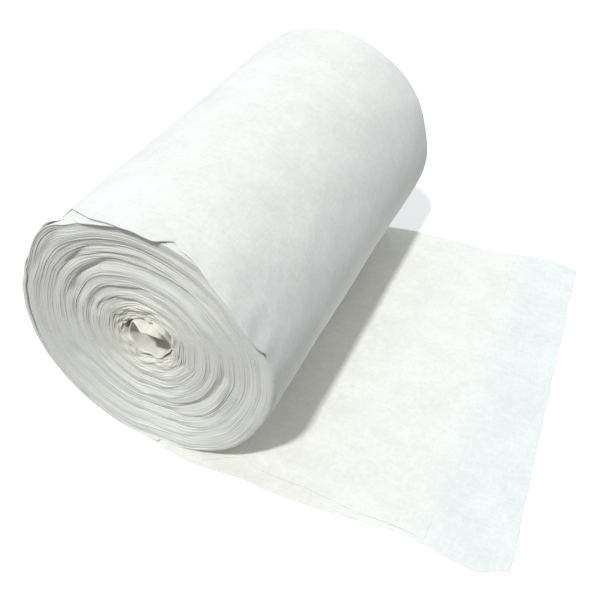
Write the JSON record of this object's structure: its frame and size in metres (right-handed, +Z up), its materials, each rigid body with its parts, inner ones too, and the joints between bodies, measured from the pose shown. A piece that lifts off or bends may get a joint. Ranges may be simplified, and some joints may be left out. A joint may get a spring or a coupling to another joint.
{
  "type": "gauze bandage roll",
  "caption": "Coreless roll of folded white gauze bandage lying on its side, with a hollow along its middle and its loose end laid flat beside it.",
  "frame": {"origin": "on the table, on the loose end's flat underside, below the middle of the roll's axis", "axes": "+Z up; +Y along the roll's axis, from the end with the lifted edge to the other end; +X from the roll along the loose end"},
  "size_m": [0.2467, 0.2387, 0.1352],
  "materials": {
    "gauze": "matt open cotton weave, off-white"
  },
  "bodies": {
    "root": {"wound_roll": "gauze", "loose_end": "gauze"}
  },
  "joints": []
}
